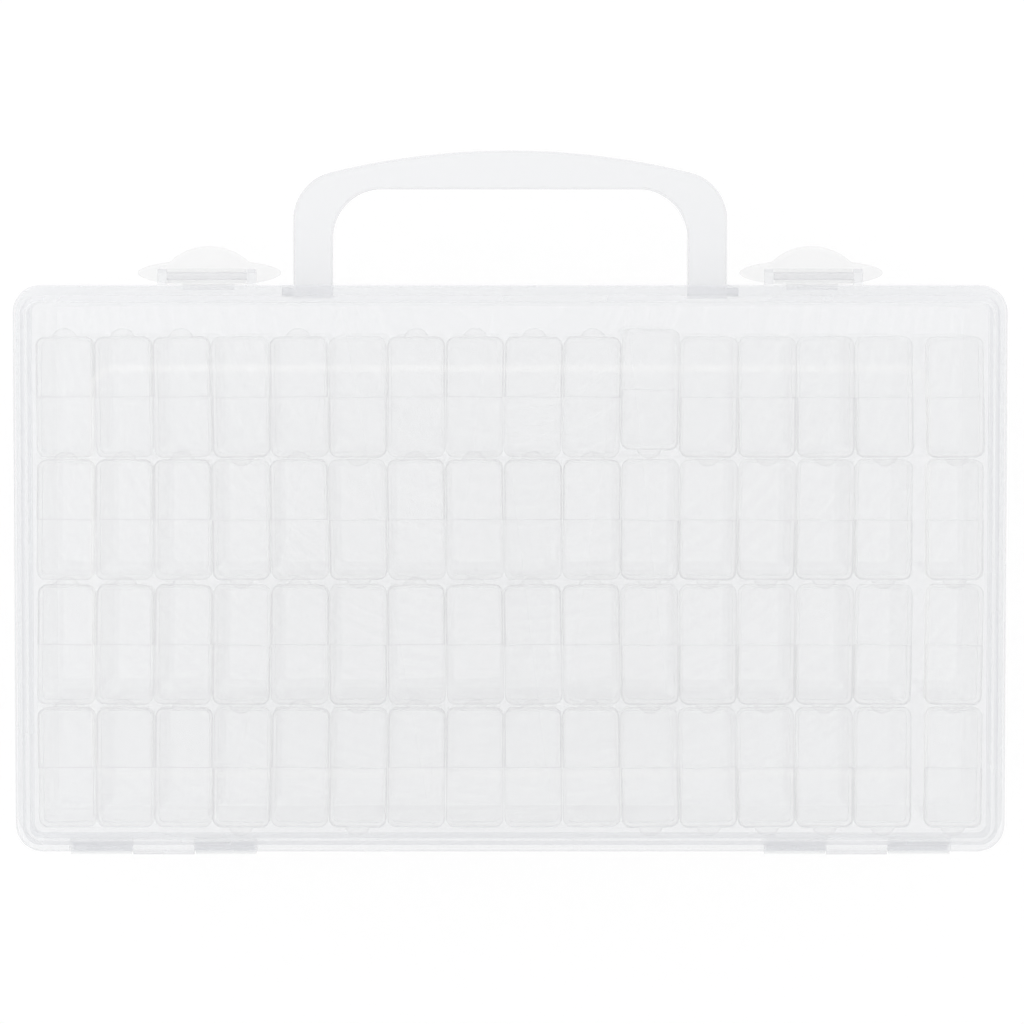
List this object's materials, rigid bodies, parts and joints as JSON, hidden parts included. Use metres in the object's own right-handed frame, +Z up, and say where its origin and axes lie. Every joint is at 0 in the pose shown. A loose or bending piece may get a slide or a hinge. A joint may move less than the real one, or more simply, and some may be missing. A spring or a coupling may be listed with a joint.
{
  "type": "diamond painting storage box",
  "caption": "Flat carrying case of clear plastic with a hinged lid, a folding handle and snap latches, filled with rows of flip-top bead jars.",
  "frame": {"origin": "centre of the base's flat underside, on the surface the case lies on", "axes": "+X along the case's length, +Y from the front with the handle and latches to the hinges at the back, +Z up out of the lid"},
  "size_m": [0.223, 0.1588, 0.054],
  "materials": {
    "case_clear": "translucent, softly glossy",
    "handle_clear": "translucent, softly glossy",
    "latch_clear": "translucent, softly glossy",
    "jar_clear": "translucent, satin",
    "cap_clear": "translucent, satin"
  },
  "bodies": {
    "base": {"base": "case_clear", "jars_01": "jar_clear", "jars_02": "jar_clear", "jars_03": "jar_clear", "jars_04": "jar_clear", "jars_05": "jar_clear", "jars_06": "jar_clear", "jars_07": "jar_clear", "jars_08": "jar_clear", "jars_09": "jar_clear", "jars_10": "jar_clear", "jars_11": "jar_clear", "jars_12": "jar_clear", "jars_13": "jar_clear", "jars_14": "jar_clear", "jars_15": "jar_clear", "jars_16": "jar_clear", "caps_01": "cap_clear", "caps_02": "cap_clear", "caps_03": "cap_clear", "caps_04": "cap_clear", "caps_05": "cap_clear", "caps_06": "cap_clear", "caps_07": "cap_clear", "caps_08": "cap_clear", "caps_09": "cap_clear", "caps_10": "cap_clear", "caps_11": "cap_clear", "caps_12": "cap_clear", "caps_13": "cap_clear", "caps_14": "cap_clear", "caps_15": "cap_clear", "caps_16": "cap_clear"},
    "lid": {"lid": "case_clear"},
    "handle": {"handle": "handle_clear"},
    "latch_left": {"latch_left": "latch_clear"},
    "latch_right": {"latch_right": "latch_clear"}
  },
  "joints": [
    {"name": "lid_hinge", "type": "hinge", "parent": "base", "child": "lid", "pos_m": [0, 0.06302, 0.042], "axis": [-1, 0, 0], "range_deg": [0, 180]},
    {"name": "latch_left_hinge", "type": "hinge", "parent": "lid", "child": "latch_left", "pos_m": [-0.068, -0.0658, 0.0436], "axis": [-1, 0, 0], "range_deg": [0, 110]},
    {"name": "latch_right_hinge", "type": "hinge", "parent": "lid", "child": "latch_right", "pos_m": [0.068, -0.0658, 0.0436], "axis": [-1, 0, 0], "range_deg": [0, 110]},
    {"name": "handle_pivot", "type": "hinge", "parent": "base", "child": "handle", "pos_m": [0, -0.06217, 0.0366], "axis": [1, 0, 0], "range_deg": [0, 90]}
  ]
}
